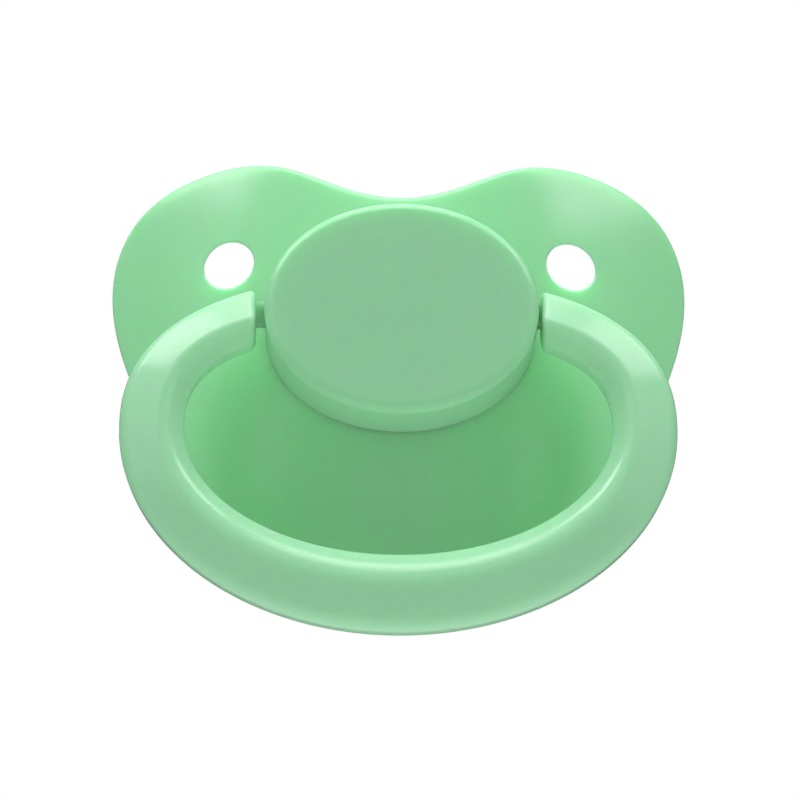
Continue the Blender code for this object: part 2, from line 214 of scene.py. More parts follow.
def fill_face(shape, rings, side):
    """Triangles between closed rings of vertices; the first ring is the outside, the others are holes."""
    flat = [[(vert.co.x, vert.co.z) for vert in ring] for ring in rings]
    verts = [vert for ring in rings for vert in ring]
    edges = []
    first = 0
    for ring in rings:
        edges += [(first + i, first + (i + 1) % len(ring)) for i in range(len(ring))]
        first += len(ring)
    edge_places = np.array([place for ring in flat for place in ring])
    reach_x = int(max(abs(edge_places[:, 0])) / GRID)
    reach_z = int(max(abs(edge_places[:, 1])) / GRID)
    for i in range(-reach_x, reach_x + 1):
        for k in range(-reach_z, reach_z + 1):
            place = plate_point(i * GRID, k * GRID, side * PLATE_HALF)
            gap = np.hypot(edge_places[:, 0] - place.x, edge_places[:, 1] - place.z).min()
            if gap < 0.7 * GRID or not inside_loop(flat[0], place.x, place.z):
                continue
            if not any(inside_loop(hole, place.x, place.z) for hole in flat[1:]):
                verts.append(shape.verts.new(place))
    places = [Vector((vert.co.x, vert.co.z)) for vert in verts]
    found = geometry.delaunay_2d_cdt(places, edges, [], 1, 1e-8)
    source = [verts[origin[0]] for origin in found[3]]
    for face in found[2]:
        corners = [source[i] for i in face]
        middle = sum((vert.co for vert in corners), Vector()) / len(corners)
        if not any(inside_loop(hole, middle.x, middle.z) for hole in flat[1:]):
            shape.faces.new(corners)


# %% [markdown]
# ## From a bmesh to a piece
# Each piece is smooth shaded, and only edges sharper than an angle stay crisp. The names are the ones a
# workshop would use.

# %% Make an object
def make_piece(name, shape, sharp_degrees=38):
    bmesh.ops.recalc_face_normals(shape, faces=shape.faces)
    mesh = bpy.data.meshes.new(name)
    shape.to_mesh(mesh)
    shape.free()
    mesh.shade_smooth()
    mesh.set_sharp_from_angle(angle=math.radians(sharp_degrees))
    piece = bpy.data.objects.new(name, mesh)
    bpy.context.scene.collection.objects.link(piece)
    print(name, "has", len(mesh.vertices), "vertices and", len(mesh.polygons), "faces")
    return piece


def oval(half_x, half_z, y, steps):
    """A ring of points round the Y axis; y may be a number or a function of x and z."""
    ring = []
    for i in range(steps):
        angle = -math.tau * i / steps
        x = half_x * math.cos(angle)
        z = half_z * math.sin(angle)
        ring.append(Vector((x, y(x, z) if callable(y) else y, z)))
    return ring


# %% [markdown]
# ## The shield
# The shield is one moulding: the bent plate with two vents, and in its middle an oval rim with a bead that
# the button snaps over. Inside the rim is a round seat for the teat's flange, and the hole that the teat
# goes through. A vent's wall leans outwards towards the back, as a moulded hole must to let go of its pin.
# The rim's foot grows straight out of the front face, so the front is filled up to that oval and the back
# is filled up to the round hole. That keeps it one closed skin with no Boolean scars.

# %% Build the shield
BOSS_STEPS = 128
VENT_STEPS = 96
VENT_PLACES = ((-0.0223, 0.0100), (0.0223, 0.0100))
VENT_RADIUS = 0.00326
VENT_FLARE = 0.0009
VENT_EDGE = 0.0003
TEAT_HOLE = 0.0073
SEAT_HOLE = 0.0076
SEAT_RADIUS = 0.0102
SEAT_FLOOR = -0.0022
BOSS_TOP = -0.0036
BOSS_HALF_X = 0.01543
BOSS_HALF_Z = 0.0121
BOSS_EDGE = 0.00015
BEAD_Y = -0.0027
BEAD = 0.0004


def vent_rings(shape, x, z):
    """From the rounded edge in front, through the leaning wall, to the rounded edge behind."""
    turns = [math.pi / 2 * k / RIM_STEPS for k in range(RIM_STEPS + 1)]
    steps = []
    for turn in turns:
        steps.append((plate_front, VENT_EDGE * (1 - math.sin(turn)), VENT_EDGE * (1 - math.cos(turn))))
    for turn in turns:
        wider = VENT_FLARE + VENT_EDGE * (1 - math.cos(turn))
        steps.append((plate_back, wider, -VENT_EDGE * (1 - math.sin(turn))))
    rings = []
    for face, wider, deeper in steps:
        loop = circle(x, z, VENT_RADIUS + wider, VENT_STEPS)
        rings.append([shape.verts.new((px, face(px, pz) + deeper, pz)) for px, pz in loop])
    return rings


def boss_rings(shape):
    """The oval rim, from its foot on the face to the seat's floor."""
    steps = [
        (BOSS_HALF_X, BOSS_HALF_Z, plate_front),
        (BOSS_HALF_X, BOSS_HALF_Z, BEAD_Y + BEAD),
        (BOSS_HALF_X + BEAD, BOSS_HALF_Z + BEAD, BEAD_Y),
        (BOSS_HALF_X, BOSS_HALF_Z, BEAD_Y - BEAD),
        (BOSS_HALF_X, BOSS_HALF_Z, BOSS_TOP + BOSS_EDGE),
        (BOSS_HALF_X - BOSS_EDGE, BOSS_HALF_Z - BOSS_EDGE, BOSS_TOP),
        (SEAT_RADIUS + BOSS_EDGE, SEAT_RADIUS + BOSS_EDGE, BOSS_TOP),
        (SEAT_RADIUS, SEAT_RADIUS, BOSS_TOP + BOSS_EDGE),
        (SEAT_RADIUS, SEAT_RADIUS, SEAT_FLOOR),
        (SEAT_HOLE, SEAT_HOLE, SEAT_FLOOR),
    ]
    return [[shape.verts.new(point) for point in oval(x, z, y, BOSS_STEPS)] for x, z, y in steps]


def build_shield():
    shape = bmesh.new()
    front = rim(shape, outline, 1)
    back = rim(shape, outline, -1)
    bmesh.ops.delete(shape, geom=back[0], context="VERTS")
    back[0] = front[0]
    skin(shape, front)
    skin(shape, back)
    vents = [vent_rings(shape, x, z) for x, z in VENT_PLACES]
    for rings in vents:
        skin(shape, rings)
    front_rings = [front[-1]] + [rings[0] for rings in vents]
    back_rings = [back[-1]] + [rings[-1] for rings in vents]
    boss = boss_rings(shape)
    hole = rim(shape, circle(0, 0, TEAT_HOLE, BOSS_STEPS), -1)
    skin(shape, boss + hole)
    fill_face(shape, front_rings + [boss[0]], 1)
    fill_face(shape, back_rings + [hole[-1]], -1)
    return make_piece("shield_moulding", shape)


shield = build_shield()
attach(shield, "body")
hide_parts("shield")

# %% [markdown]
# ## The button
# The button is a thin oval cap with a flat face and a rounded edge. It hides the clamped teat and carries
# the two holes that the ring's pins turn in. A loft of ovals gives the face, the rounded edge, the wall
# and the inside with its snap groove; two Booleans drill the pin holes.

# %% Build the button
CAP_STEPS = 192
CAP_EDGE = 0.00135
CAP_EDGE_STEPS = 12
CAP_EDGE_HOLD = 0.0004
CAP_WALL = 0.0017
CAP_CEILING = 0.0018
RIB_OUTER = 0.0066
RIB_INNER = 0.0054
RIB_END = -0.0057
FIT_GAP = 0.0003
HINGE_Y = frame["joints"][0]["pos_m"][1]
PIN_HOLE = 0.00185
PIN_STEPS = 64

cap_low, cap_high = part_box("button_cap")
CAP_HALF_X = cap_high[0]
CAP_HALF_Z = cap_high[2]
CAP_FACE = cap_low[1]


def cap_foot(x, z):
    """The cap stops just short of the shield's face, all the way round."""
    return plate_front(x, z) - FIT_GAP


def cap_ovals():
    ovals = []
    for share in (0.30, 0.60, 0.85, 0.97):
        half_x = (CAP_HALF_X - CAP_EDGE) * share
        ovals.append((half_x, (CAP_HALF_Z - CAP_EDGE) * share, CAP_FACE))
    for k in range(CAP_EDGE_STEPS + 1):
        turn = math.pi / 2 * (1 - k / CAP_EDGE_STEPS)
        inwards = CAP_EDGE * (1 - math.cos(turn))
        y = CAP_FACE + CAP_EDGE * (1 - math.sin(turn))
        ovals.append((CAP_HALF_X - inwards, CAP_HALF_Z - inwards, y))
    ovals.append((CAP_HALF_X, CAP_HALF_Z, CAP_FACE + CAP_EDGE + CAP_EDGE_HOLD))
    ovals.append((CAP_HALF_X, CAP_HALF_Z, cap_foot))
    inner_x = CAP_HALF_X - CAP_WALL
    inner_z = CAP_HALF_Z - CAP_WALL
    ceiling = CAP_FACE + CAP_CEILING
    ovals += [
        (inner_x, inner_z, cap_foot),
        (inner_x, inner_z, BEAD_Y + BEAD + FIT_GAP),
        (inner_x + BEAD, inner_z + BEAD, BEAD_Y),
        (inner_x, inner_z, BEAD_Y - BEAD - FIT_GAP),
        (inner_x, inner_z, ceiling),
        (RIB_OUTER, RIB_OUTER, ceiling),
        (RIB_OUTER, RIB_OUTER, RIB_END),
        (RIB_INNER, RIB_INNER, RIB_END),
        (RIB_INNER, RIB_INNER, ceiling),
    ]
    return ovals


def drill(piece, x, radius, depth):
    """A round hole along X through one wall of the piece."""
    cutter_shape = bmesh.new()
    bmesh.ops.create_cone(
        cutter_shape,
        cap_ends=True,
        segments=PIN_STEPS,
        radius1=radius,
        radius2=radius,
        depth=depth,
        matrix=Matrix.Translation((x, HINGE_Y, 0)) @ Matrix.Rotation(math.pi / 2, 4, "Y"),
    )
    cutter = make_piece("pin_hole_cutter", cutter_shape)
    step = piece.modifiers.new("pin hole", "BOOLEAN")
    step.operation = "DIFFERENCE"
    step.solver = "EXACT"
    step.object = cutter
    return cutter


def apply_steps(piece, tools):
    """Turns the modifiers into plain mesh and throws the tools away."""
    evaluated = piece.evaluated_get(bpy.context.evaluated_depsgraph_get())
    mesh = bpy.data.meshes.new_from_object(evaluated)
    piece.modifiers.clear()
    piece.data = mesh
    for tool in tools:
        bpy.data.objects.remove(tool, do_unlink=True)


def build_button():
    shape = bmesh.new()
    rings = []
    for half_x, half_z, y in cap_ovals():
        rings.append([shape.verts.new(point) for point in oval(half_x, half_z, y, CAP_STEPS)])
    skin(shape, rings)
    shape.faces.new(rings[0])
    shape.faces.new(list(reversed(rings[-1])))
    button = make_piece("button_cap_moulding", shape)
    cutters = [drill(button, side * CAP_HALF_X, PIN_HOLE, 4 * CAP_WALL) for side in (-1, 1)]
    apply_steps(button, cutters)
    return button


button = build_button()
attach(button, "body")
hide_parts("button_cap")

# %% [markdown]
# ## The ring handle
# The ring is a C: it starts at one pin, runs round under the button and ends at the other. Its section is
# a soft five-sided shape with its crest near the inner edge, so a finger finds a slope inside and a broad
# face outside. The crest is crisp at the arms and melts into a wide round at the bottom. Sections are
# lofted along two ovals, the inner and the outer edge, which is how the arms can be slim at the pins and
# stout at the bottom.

# %% The ring's two ovals
RING_END_X = 0.01815
RING_CENTRE_Z = -0.0154
OUTER = {"half": 0.0353, "up": 0.0206, "down": 0.0264, "power": 2.35}
INNER = {"half": 0.0270, "up": 0.0133, "down": 0.0165, "power": 2.6}
SIDE_SHIFT = -0.00035
STATIONS = 200


def edge_point(edge, angle):
    """Squarer than an ellipse above the widest place, a plain ellipse below it."""
    rise = math.sin(angle)
    run = math.cos(angle)
    if rise < 0:
        return Vector((edge["half"] * run, edge["down"] * rise))
    x = edge["half"] * math.copysign(abs(run) ** (2 / edge["power"]), run)
    return Vector((x, edge["up"] * rise ** (2 / edge["power"])))


def edge_at(edge, share):
    """A point on the edge at a share of the way from the right end to the left end."""
    end = math.acos((RING_END_X / edge["half"]) ** (edge["power"] / 2))
    return edge_point(edge, end - share * (math.pi + 2 * end))


print("the ring is", round(1000 * 2 * OUTER["half"], 1), "mm wide")

# %% The ring's section
SECTION = (
    (1.00, 0.0016, 0.0022),
    (-0.42, 0.0042, 0.0010),
    (-1.00, 0.0012, 0.0012),
    (-0.94, -0.0034, 0.0018),
    (0.94, -0.0034, 0.0018),
)
CREST = 1
CREST_SOFTENING = 0.0028
CORNER_STEPS = 10
SECTION_DEPTH = 0.0076


def rounded_corners(corners):
    """A closed outline whose corners are arcs; a corner is (across, forward, radius)."""
    line = []
    for i, (across, forward, radius) in enumerate(corners):
        here = Vector((across, forward))
        before = (Vector(corners[i - 1][:2]) - here).normalized()
        after = (Vector(corners[(i + 1) % len(corners)][:2]) - here).normalized()
        half_angle = before.angle(after) / 2
        centre = here + (before + after).normalized() * radius / math.sin(half_angle)
        reach = radius / math.tan(half_angle)
        start = here + before * reach - centre
        sweep = -start.angle_signed(here + after * reach - centre)
        for k in range(CORNER_STEPS + 1):
            turn = sweep * k / CORNER_STEPS
            line.append(centre + Matrix.Rotation(turn, 2) @ start)
    return line


def ring_section(share, shrink=0.0):
    """One section; shrink pulls it in for the rounded end."""
    inner = edge_at(INNER, share)
    outer = edge_at(OUTER, share)
    middle = (inner + outer) / 2
    half_width = (outer - inner).length / 2
    outwards = (outer - inner).normalized()
    corners = [[across * half_width, forward, radius] for across, forward, radius in SECTION]
    corners[CREST][2] += CREST_SOFTENING * math.sin(math.pi * share) ** 2
    points = []
    for across, forward in rounded_corners(corners):
        place = middle + outwards * across * (1 - shrink / half_width)
        depth = forward * (1 - 2 * shrink / SECTION_DEPTH)
        points.append(Vector((place.x + SIDE_SHIFT, HINGE_Y - depth, RING_CENTRE_Z + place.y)))
    return points


# %% [markdown]
# ## Pins
# Each pin is moulded in one with the arm. It is a plain round stub with a slightly thicker head that snaps
# through the wall of the button. The stub is lofted from circles and joined with a Boolean, which leaves
# the crisp corner between stub and arm that the real moulding has. The arm's flat end is rounded first, by
# sections that shrink as they come near it.

# %% Build the ring with its pins
END_ROUND = 0.0010
END_STEPS = 8
PIN_RADIUS = 0.0017
PIN_ROOT = 0.002
PIN_HEAD = 0.00205
PIN_SHOULDER_X = 0.0149
PIN_END_X = 0.0137


def end_steps():
    """How far along the ring, and how far pulled in, each section of a rounded end is."""
    first_step = edge_at(OUTER, 1 / STATIONS) - edge_at(OUTER, 0)
    share_per_metre = 1 / (STATIONS * first_step.length)
    steps = []
    for k in range(END_STEPS + 1):
        turn = math.pi / 2 * k / END_STEPS
        along = END_ROUND * (1 - math.cos(turn)) * share_per_metre
        steps.append((along, END_ROUND * (1 - math.sin(turn))))
    return steps


def pin_tool(side):
    """One pin, from its root inside the arm to its chamfered head inside the button."""
    chamfer = PIN_HEAD - PIN_RADIUS
    profile = [
        (RING_END_X + PIN_ROOT, PIN_RADIUS),
        (PIN_SHOULDER_X + chamfer, PIN_RADIUS),
        (PIN_SHOULDER_X, PIN_HEAD),
        (PIN_END_X + chamfer, PIN_HEAD),
        (PIN_END_X, PIN_RADIUS - chamfer),
    ]
    shape = bmesh.new()
    rings = []
    for x, radius in profile:
        centre = Vector((side * x + SIDE_SHIFT, HINGE_Y, 0))
        ring = []
        for i in range(PIN_STEPS):
            angle = math.tau * i / PIN_STEPS
            ring.append(shape.verts.new(centre + radius * Vector((0, math.cos(angle), math.sin(angle)))))
        rings.append(ring)
    skin(shape, rings)
    shape.faces.new(rings[0])
    shape.faces.new(list(reversed(rings[-1])))
    return make_piece("pin_tool", shape)


def build_ring():
    ends = end_steps()
    start = math.ceil(ends[-1][0] * STATIONS + 0.5)
    sections = [ring_section(share, shrink) for share, shrink in ends]
    sections += [ring_section(i / STATIONS) for i in range(start, STATIONS - start + 1)]
    sections += [ring_section(1 - share, shrink) for share, shrink in reversed(ends)]
    shape = bmesh.new()
    rings = [[shape.verts.new(point) for point in section] for section in sections]
    skin(shape, rings)
    shape.faces.new(rings[0])
    shape.faces.new(list(reversed(rings[-1])))
    ring = make_piece("ring_handle_moulding", shape)
    pins = [pin_tool(side) for side in (-1, 1)]
    for pin in pins:
        step = ring.modifiers.new("pin", "BOOLEAN")
        step.operation = "UNION"
        step.solver = "EXACT"
        step.object = pin
    apply_steps(ring, pins)
    return ring


ring = build_ring()
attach(ring, "ring")
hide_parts("ring_handle")

# %% [markdown]
# ## The teat
# The teat is a hollow silicone skin, clamped by its flange inside the shield. It is turned from one
# profile: flange, neck, bulb and rounded tip, then back down the inside. Two faint mould lines run along
# it where the halves of the mould met, and they are raised in the mesh by a few hundredths of a
# millimetre.

# %% Build the teat
TEAT_OUTLINE = (
    (0.0000, 0.0070),
    (0.0075, 0.0071),
    (0.0145, 0.0087),
    (0.0205, 0.0107),
    (0.0250, 0.0113),
    (0.0266, 0.01135),
)
TEAT_TIP = 0.0368
TEAT_WALL = 0.0013
TEAT_SEAT = -0.0025
FLANGE_RADIUS = 0.0099
FLANGE = 0.0012
TEAT_STEPS = 256
TEAT_OUTLINE_STEPS = 10
DOME_STEPS = 18
MOULD_LINE = 0.00004
MOULD_LINE_WIDTH = 0.00018


def open_line(points, steps):
    """A Catmull-Rom line through the points, with its ends."""
    ends = [2 * np.array(points[0]) - np.array(points[1])]
    ends += [np.array(point) for point in points]
    ends.append(2 * np.array(points[-1]) - np.array(points[-2]))
    line = []
    for i in range(1, len(ends) - 2):
        before, here, after, later = ends[i - 1 : i + 3]
        for k in range(steps):
            t = k / steps
            push = 2 * before - 5 * here + 4 * after - later
            turn = 3 * here - before - 3 * after + later
            line.append(tuple(here + 0.5 * ((after - before) * t + push * t**2 + turn * t**3)))
    line.append(tuple(ends[-2]))
    return line


def dome(y, radius, tip):
    """A quarter oval that stops just short of the axis, where one small face closes it."""
    turns = [math.pi / 2 * k / (DOME_STEPS + 0.3) for k in range(1, DOME_STEPS + 1)]
    return [(y + (tip - y) * math.sin(a), radius * math.cos(a)) for a in turns]


def teat_ring(shape, y, radius, outside):
    ring = []
    for i in range(TEAT_STEPS):
        angle = math.tau * i / TEAT_STEPS
        off_line = abs(math.sin(angle)) * radius
        ridge = MOULD_LINE * math.exp(-((off_line / MOULD_LINE_WIDTH) ** 2)) if outside else 0
        reach = radius + ridge
        ring.append(shape.verts.new((reach * math.cos(angle), y, reach * math.sin(angle))))
    return ring


def build_teat():
    side = open_line(TEAT_OUTLINE, TEAT_OUTLINE_STEPS)
    outside = side + dome(*side[-1], TEAT_TIP)
    inside = [(y, radius - TEAT_WALL) for y, radius in side]
    inside += dome(*inside[-1], TEAT_TIP - TEAT_WALL)
    neck = TEAT_OUTLINE[0][1]
    lip = [
        (TEAT_SEAT - FLANGE, neck - TEAT_WALL),
        (TEAT_SEAT - FLANGE, FLANGE_RADIUS),
        (TEAT_SEAT, FLANGE_RADIUS),
        (TEAT_SEAT, neck),
    ]
    shape = bmesh.new()
    rings = [teat_ring(shape, y, radius, False) for y, radius in reversed(inside)]
    rings += [teat_ring(shape, y, radius, False) for y, radius in lip]
    rings += [teat_ring(shape, y, radius, y > side[0][0]) for y, radius in outside]
    skin(shape, rings)
    shape.faces.new(rings[0])
    shape.faces.new(list(reversed(rings[-1])))
    return make_piece("teat_silicone_skin", shape)


teat = build_teat()
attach(teat, "body")
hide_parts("teat")

# %% [markdown]
# ## Shared effects as node groups
# Moulded plastic is never perfectly flat or evenly glossy. Three effects recur on every piece, so each is
# a node group: the gentle waves and fine orange peel of a moulded skin, hairline marks from handling, and
# a few specks of dust. Each group puts out masks and heights only, and the material decides what they do.

# %% A helper for node groups
def new_group(name, inputs, outputs):
    group = bpy.data.node_groups.new(name, "ShaderNodeTree")
    for socket_name, value in inputs:
        socket = group.interface.new_socket(socket_name, in_out="INPUT", socket_type="NodeSocketFloat")
        socket.default_value = value
    for socket_name in outputs:
        group.interface.new_socket(socket_name, in_out="OUTPUT", socket_type="NodeSocketFloat")
    start = group.nodes.new("NodeGroupInput")
    end = group.nodes.new("NodeGroupOutput")
    return group, start, end


def add_node(tree, kind, **settings):
    node = tree.nodes.new(kind)
    for key, value in settings.items():
        if key in node.inputs:
            node.inputs[key].default_value = value
        else:
            setattr(node, key, value)
    return node


def math_node(tree, operation, first, second):
    """A Math node; each side is a number or a socket."""
    node = tree.nodes.new("ShaderNodeMath")
    node.operation = operation
    for slot_index, value in enumerate((first, second)):
        if isinstance(value, (int, float)):
            node.inputs[slot_index].default_value = value
        else:
            tree.links.new(value, node.inputs[slot_index])
    return node.outputs[0]


# %% Moulded skin: waves, orange peel and a slow drift in tone
def moulded_skin_group():
    inputs = [("Wave Scale", 90.0), ("Peel Scale", 1400.0), ("Peel Share", 0.08)]
    group, start, end = new_group("moulded_skin", inputs, ["Height", "Tone"])
    place = group.nodes.new("ShaderNodeTexCoord")
    waves = add_node(group, "ShaderNodeTexNoise", Detail=1.0, Roughness=0.4)
    peel = add_node(group, "ShaderNodeTexNoise", Detail=2.0, Roughness=0.5)
    tone = add_node(group, "ShaderNodeTexNoise", Scale=55.0, Detail=3.0, Roughness=0.55)
    for noise in (waves, peel, tone):
        group.links.new(place.outputs["Object"], noise.inputs["Vector"])
    group.links.new(start.outputs["Wave Scale"], waves.inputs["Scale"])
    group.links.new(start.outputs["Peel Scale"], peel.inputs["Scale"])
    fine = math_node(group, "MULTIPLY", peel.outputs["Fac"], start.outputs["Peel Share"])
    height = math_node(group, "ADD", waves.outputs["Fac"], fine)
    group.links.new(height, end.inputs["Height"])
    group.links.new(tone.outputs["Fac"], end.inputs["Tone"])
    return group


moulded_skin = moulded_skin_group()
print("group:", moulded_skin.name)

# %% Handling marks: hairlines in two directions
def handling_marks_group():
    group, start, end = new_group("handling_marks", [("Density", 0.5)], ["Marks"])
    place = group.nodes.new("ShaderNodeTexCoord")
    found = []
    for turn, stretch in ((0.5, (30.0, 30.0, 900.0)), (2.1, (900.0, 60.0, 40.0))):
        mapping = add_node(group, "ShaderNodeMapping", Rotation=(turn, 0.3, turn), Scale=stretch)
        group.links.new(place.outputs["Object"], mapping.inputs["Vector"])
        lines = add_node(group, "ShaderNodeTexNoise", Scale=1.6, Detail=4.0, Roughness=0.65)
        group.links.new(mapping.outputs["Vector"], lines.inputs["Vector"])
        step = add_node(group, "ShaderNodeMapRange", interpolation_type="SMOOTHSTEP")
        step.inputs["From Min"].default_value = 0.60
        step.inputs["From Max"].default_value = 0.74
        group.links.new(lines.outputs["Fac"], step.inputs["Value"])
        found.append(step.outputs["Result"])
    both = math_node(group, "MAXIMUM", found[0], found[1])
    group.links.new(math_node(group, "MULTIPLY", both, start.outputs["Density"]), end.inputs["Marks"])
    return group


handling_marks = handling_marks_group()
print("group:", handling_marks.name)

# %% Dust: a few small pale specks
def dust_specks_group():
    inputs = [("Scale", 480.0), ("Size", 0.045), ("Amount", 0.02)]
    group, start, end = new_group("dust_specks", inputs, ["Specks"])
    place = group.nodes.new("ShaderNodeTexCoord")
    cells = add_node(group, "ShaderNodeTexVoronoi", feature="F1")
    group.links.new(place.outputs["Object"], cells.inputs["Vector"])
    group.links.new(start.outputs["Scale"], cells.inputs["Scale"])
    near = math_node(group, "LESS_THAN", cells.outputs["Distance"], start.outputs["Size"])
    pick = group.nodes.new("ShaderNodeSeparateColor")
    group.links.new(cells.outputs["Color"], pick.inputs["Color"])
    chosen = math_node(group, "LESS_THAN", pick.outputs["Red"], start.outputs["Amount"])
    group.links.new(math_node(group, "MULTIPLY", near, chosen), end.inputs["Specks"])
    return group


dust_specks = dust_specks_group()
print("group:", dust_specks.name)

# %% [markdown]
# ## Mint polypropylene
# The hard pieces are moulded from a pigmented polypropylene: glossy, but a little translucent, so thin
# rims glow and shadows stay green. Subsurface scattering with a short reach does that. The groups above
# vary the tint by a few percent, roughen the hairlines and stir the reflections. The ring's mint is
# painted a little paler than the shield and the button. That is a painted sheen, standing in for the
# overhead light on its slopes.

# %% Make the plastic
def group_node(tree, group, **values):
    node = tree.nodes.new("ShaderNodeGroup")
    node.node_tree = group
    for key, value in values.items():
        node.inputs[key.replace("_", " ")].default_value = value
    return node


def mix_colour(tree, factor, first, second):
    node = tree.nodes.new("ShaderNodeMix")
    node.data_type = "RGBA"
    for key, value in ((0, factor), (6, first), (7, second)):
        if isinstance(value, (int, float, tuple)):
            node.inputs[key].default_value = value
        else:
            tree.links.new(value, node.inputs[key])
    return node.outputs[2]


def polypropylene(name, light, deep, roughness, wave_height):
    material = bpy.data.materials.new(name)
    material.use_nodes = True
    tree = material.node_tree
    shader = tree.nodes["Principled BSDF"]
    shader.inputs["IOR"].default_value = 1.49
    shader.inputs["Subsurface Weight"].default_value = 0.85
    shader.inputs["Subsurface Scale"].default_value = 0.0028
    shader.inputs["Subsurface Radius"].default_value = (0.45, 1.0, 0.55)
    surface = group_node(tree, moulded_skin)
    marks = group_node(tree, handling_marks, Density=0.35)
    dust = group_node(tree, dust_specks)
    tint = mix_colour(tree, surface.outputs["Tone"], light, deep)
    tint = mix_colour(tree, dust.outputs["Specks"], tint, DUST_ON_MINT)
    tree.links.new(tint, shader.inputs["Base Color"])
    worn = math_node(tree, "MULTIPLY", marks.outputs["Marks"], WORN_ROUGHNESS)
    tree.links.new(math_node(tree, "ADD", worn, roughness), shader.inputs["Roughness"])
    bump = add_node(tree, "ShaderNodeBump", Strength=1.0, Distance=wave_height)
    tree.links.new(surface.outputs["Height"], bump.inputs["Height"])
    tree.links.new(bump.outputs["Normal"], shader.inputs["Normal"])
    return material


MINT_LIGHT = (0.380, 0.790, 0.465, 1.0)
MINT_DEEP = (0.360, 0.760, 0.445, 1.0)
# The ring's two colours are painted paler than the shield's, as a painted sheen for the overhead light on
# its slopes.
RING_PAINTED_SHEEN_LIGHT = (0.440, 0.850, 0.530, 1.0)
RING_PAINTED_SHEEN_DEEP = (0.420, 0.820, 0.510, 1.0)
DUST_ON_MINT = (0.80, 0.86, 0.80, 1.0)
WORN_ROUGHNESS = 0.10
shield_mint = polypropylene("mint_shield_plastic", MINT_LIGHT, MINT_DEEP, 0.20, 0.00002)
button_mint = polypropylene("mint_button_plastic", MINT_LIGHT, MINT_DEEP, 0.22, 0.00002)
# The ring's material carries that painted sheen in its paler base colour.
ring_mint_painted_sheen = polypropylene("mint_ring_plastic", RING_PAINTED_SHEEN_LIGHT, RING_PAINTED_SHEEN_DEEP, 0.18, 0.00002)
plug_mint = polypropylene("mint_plug_plastic", MINT_LIGHT, MINT_DEEP, 0.32, 0.00001)
for piece, material in ((shield, shield_mint), (button, button_mint), (ring, ring_mint_painted_sheen)):
    piece.data.materials.clear()
    piece.data.materials.append(material)
    print(piece.name, "is made of", material.name)

# %% [markdown]
# ## The plug
# The plug that clamps the teat is closed in on all sides, so its CAD shape is good enough as it is. It
# keeps that shape and takes the same plastic with a duller, unpolished finish.

# %% Re-finish the plug
plug = frame["nodes"]["teat_plug"]
plug.data.materials.clear()
plug.data.materials.append(plug_mint)
print("kept from the CAD:", plug.name)

# %% [markdown]
# ## Silicone
# Silicone rubber is clear with a milky cast and a soft, slightly greasy gloss. Most of the light passes
# through the wall and some scatters in it. A plain transmission weight with a low IOR does that, and the
# moulded skin group gives it a faintly frosted, uneven surface.

# %% Make the silicone
MILKY_LIGHT = (0.90, 0.91, 0.88, 1.0)
MILKY_DEEP = (0.84, 0.86, 0.82, 1.0)
DUST_ON_SILICONE = (0.95, 0.95, 0.94, 1.0)


def silicone(name):
    material = bpy.data.materials.new(name)
    material.use_nodes = True
    tree = material.node_tree
    shader = tree.nodes["Principled BSDF"]
    shader.inputs["IOR"].default_value = 1.41
    shader.inputs["Transmission Weight"].default_value = 0.72
    shader.inputs["Subsurface Weight"].default_value = 0.3
    shader.inputs["Subsurface Scale"].default_value = 0.002
    surface = group_node(tree, moulded_skin, Wave_Scale=140.0, Peel_Share=0.2)
    dust = group_node(tree, dust_specks, Amount=0.10)
    tint = mix_colour(tree, surface.outputs["Tone"], MILKY_LIGHT, MILKY_DEEP)
    tint = mix_colour(tree, dust.outputs["Specks"], tint, DUST_ON_SILICONE)
    tree.links.new(tint, shader.inputs["Base Color"])
    frost = math_node(tree, "MULTIPLY", surface.outputs["Tone"], 0.12)
    tree.links.new(math_node(tree, "ADD", frost, 0.14), shader.inputs["Roughness"])
    bump = add_node(tree, "ShaderNodeBump", Strength=1.0, Distance=0.00002)
    tree.links.new(surface.outputs["Height"], bump.inputs["Height"])
    tree.links.new(bump.outputs["Normal"], shader.inputs["Normal"])
    return material


teat.data.materials.append(silicone("clear_silicone_rubber"))
print(teat.name, "is made of", teat.data.materials[0].name)

# %% [markdown]
# ## Floor, light and camera
# The pacifier is shown as a product shot: a white surround, a pale floor well below it and large soft
# lights. They stand above, in front and to both sides, so the upper wings and the tops of the ring's arms
# are bright and the lower shield falls into shade behind the ring. One light behind shines through the
# translucent plastic. It is left out of the reflections, because it would draw hard glints on the edges.

# %% Floor
FLOOR_Z = -0.45
FLOOR_SIZE = 4.0
FLOOR_GLOW = 0.55
FLOOR_PALE = (0.86, 0.86, 0.86, 1.0)
FLOOR_DEEP = (0.84, 0.84, 0.84, 1.0)
floor_shape = bmesh.new()
bmesh.ops.create_grid(floor_shape, x_segments=8, y_segments=8, size=FLOOR_SIZE)
for vert in floor_shape.verts:
    vert.co.z = FLOOR_Z
floor = make_piece("floor", floor_shape)
floor_material = bpy.data.materials.new("pale_floor")
floor_material.use_nodes = True
floor_tree = floor_material.node_tree
floor_noise = add_node(floor_tree, "ShaderNodeTexNoise", Scale=30.0, Detail=3.0)
floor_tint = mix_colour(floor_tree, floor_noise.outputs["Fac"], FLOOR_PALE, FLOOR_DEEP)
floor_shader = floor_tree.nodes["Principled BSDF"]
floor_tree.links.new(floor_tint, floor_shader.inputs["Base Color"])
floor_tree.links.new(floor_tint, floor_shader.inputs["Emission Color"])
floor_shader.inputs["Roughness"].default_value = 0.8
floor_seen = floor_tree.nodes.new("ShaderNodeLightPath")
floor_glow = math_node(floor_tree, "MULTIPLY", floor_seen.outputs["Is Camera Ray"], FLOOR_GLOW)
floor_tree.links.new(floor_glow, floor_shader.inputs["Emission Strength"])
floor.data.materials.append(floor_material)

